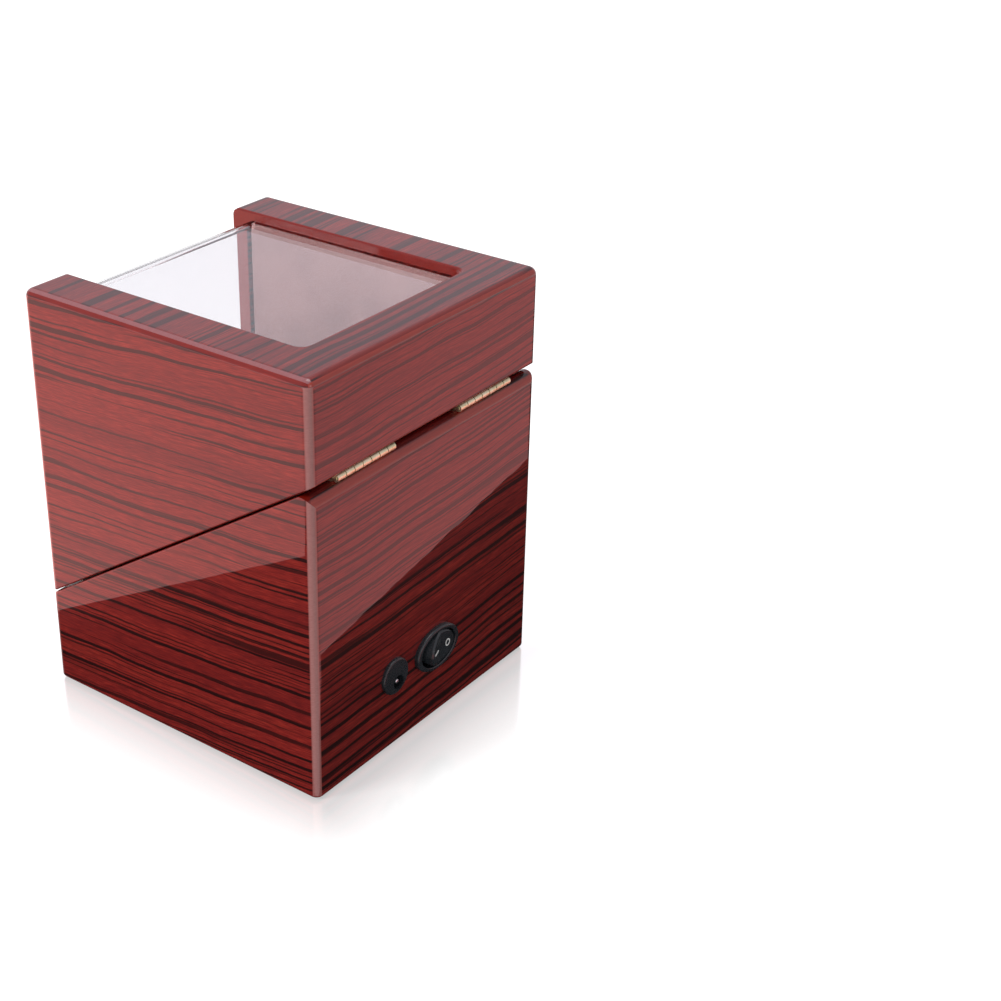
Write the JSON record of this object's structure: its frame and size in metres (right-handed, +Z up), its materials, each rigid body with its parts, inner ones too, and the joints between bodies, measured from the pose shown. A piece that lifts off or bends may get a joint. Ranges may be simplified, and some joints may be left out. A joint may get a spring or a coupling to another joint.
{
  "type": "watch winder box",
  "caption": "Lacquered wooden watch winder box with a slanted hinged lid, bent clear window, motor-driven cushion drum, rear rocker switch and power socket.",
  "frame": {"origin": "under the middle of the closed box with its switch, on the floor", "axes": "+Z up, front with the window faces -Y, back with hinges, switch and socket faces +Y"},
  "size_m": [0.136, 0.1424, 0.17],
  "materials": {
    "lacquered_rosewood": "high-gloss clear lacquer over dark-striped red veneer",
    "raw_board": "bare fibreboard",
    "felt": "black felt",
    "velvet": "taupe velvet",
    "cushion_velvet": "taupe velvet over foam",
    "clear_acrylic": "polished clear sheet",
    "clear_rubber": "translucent bumper",
    "brass": "lightly aged",
    "steel": "plated",
    "trim_metal": "satin",
    "black_plastic": "semi-gloss black",
    "white_nylon": "moulded",
    "circuit_board": "green solder mask",
    "lead_insulation": "red sleeved wire"
  },
  "bodies": {
    "base": {"base_right_board": "lacquered_rosewood", "base_left_board": "lacquered_rosewood", "base_back_board": "lacquered_rosewood", "base_front_board": "lacquered_rosewood", "base_bottom_board": "raw_board", "base_glue_blocks": "raw_board", "base_felt": "felt", "bottom_screws": "steel", "rim_bumpers": "clear_rubber", "hinge_base_leaves": "brass", "hinge_pins": "brass", "hinge_base_screws": "brass", "platform_board": "raw_board", "platform_velvet": "velvet", "platform_cleats": "raw_board", "platform_screws": "steel", "motor_bracket": "steel", "bracket_standoffs": "white_nylon", "bracket_screws": "steel", "shaft_bush": "brass", "gearbox_housing": "black_plastic", "motor_can": "steel", "motor_cap": "black_plastic", "motor_screws": "steel", "switch_body": "black_plastic", "switch_terminals": "brass", "socket_body": "black_plastic", "socket_pin": "steel", "socket_nut": "steel", "socket_lugs": "brass", "control_board": "circuit_board", "board_posts": "white_nylon", "board_screws": "steel", "board_parts": "black_plastic", "leads": "lead_insulation"},
    "lid": {"lid_top_frame": "lacquered_rosewood", "lid_right_board": "lacquered_rosewood", "lid_left_board": "lacquered_rosewood", "lid_back_board": "lacquered_rosewood", "lid_right_stile": "lacquered_rosewood", "lid_left_stile": "lacquered_rosewood", "lid_front_rail": "lacquered_rosewood", "lid_right_lining": "velvet", "lid_left_lining": "velvet", "lid_back_lining": "velvet", "window_pane": "clear_acrylic", "hinge_lid_leaves": "brass", "hinge_lid_screws": "brass"},
    "drum": {"drum_cup": "black_plastic", "drum_ring": "trim_metal", "drum_insert": "velvet", "drum_axle": "steel", "axle_clip": "steel", "drum_gear": "white_nylon", "drum_gear_screws": "steel"},
    "pinion": {"motor_pinion": "white_nylon", "gearbox_shaft": "steel"},
    "cushion": {"watch_cushion": "cushion_velvet"},
    "rocker": {"switch_rocker": "black_plastic"}
  },
  "joints": [
    {"name": "lid_hinge", "type": "hinge", "parent": "base", "child": "lid", "pos_m": [0, 0.06382, 0.1276], "axis": [-1, 0, 0], "range_deg": [0, 105]},
    {"name": "drum_spin", "type": "hinge", "parent": "base", "child": "drum", "pos_m": [0, 0.00153, 0.08764], "axis": [0, -0.5494, 0.8356], "continuous": true},
    {"name": "pinion_spin", "type": "hinge", "parent": "base", "child": "pinion", "pos_m": [-0.04, 0.00153, 0.08764], "axis": [0, -0.5494, 0.8356], "continuous": true},
    {"name": "cushion_lift", "type": "slide", "parent": "drum", "child": "cushion", "axis": [0, -0.5494, 0.8356], "range_m": [0, 0.045]},
    {"name": "rocker_tilt", "type": "hinge", "parent": "base", "child": "rocker", "pos_m": [-0.004, 0.06307, 0.0318], "axis": [0, 0, -1], "range_deg": [0, 20]}
  ],
  "couplings": [
    {"joint": "pinion_spin", "follows": "drum_spin", "ratio": -4}
  ]
}
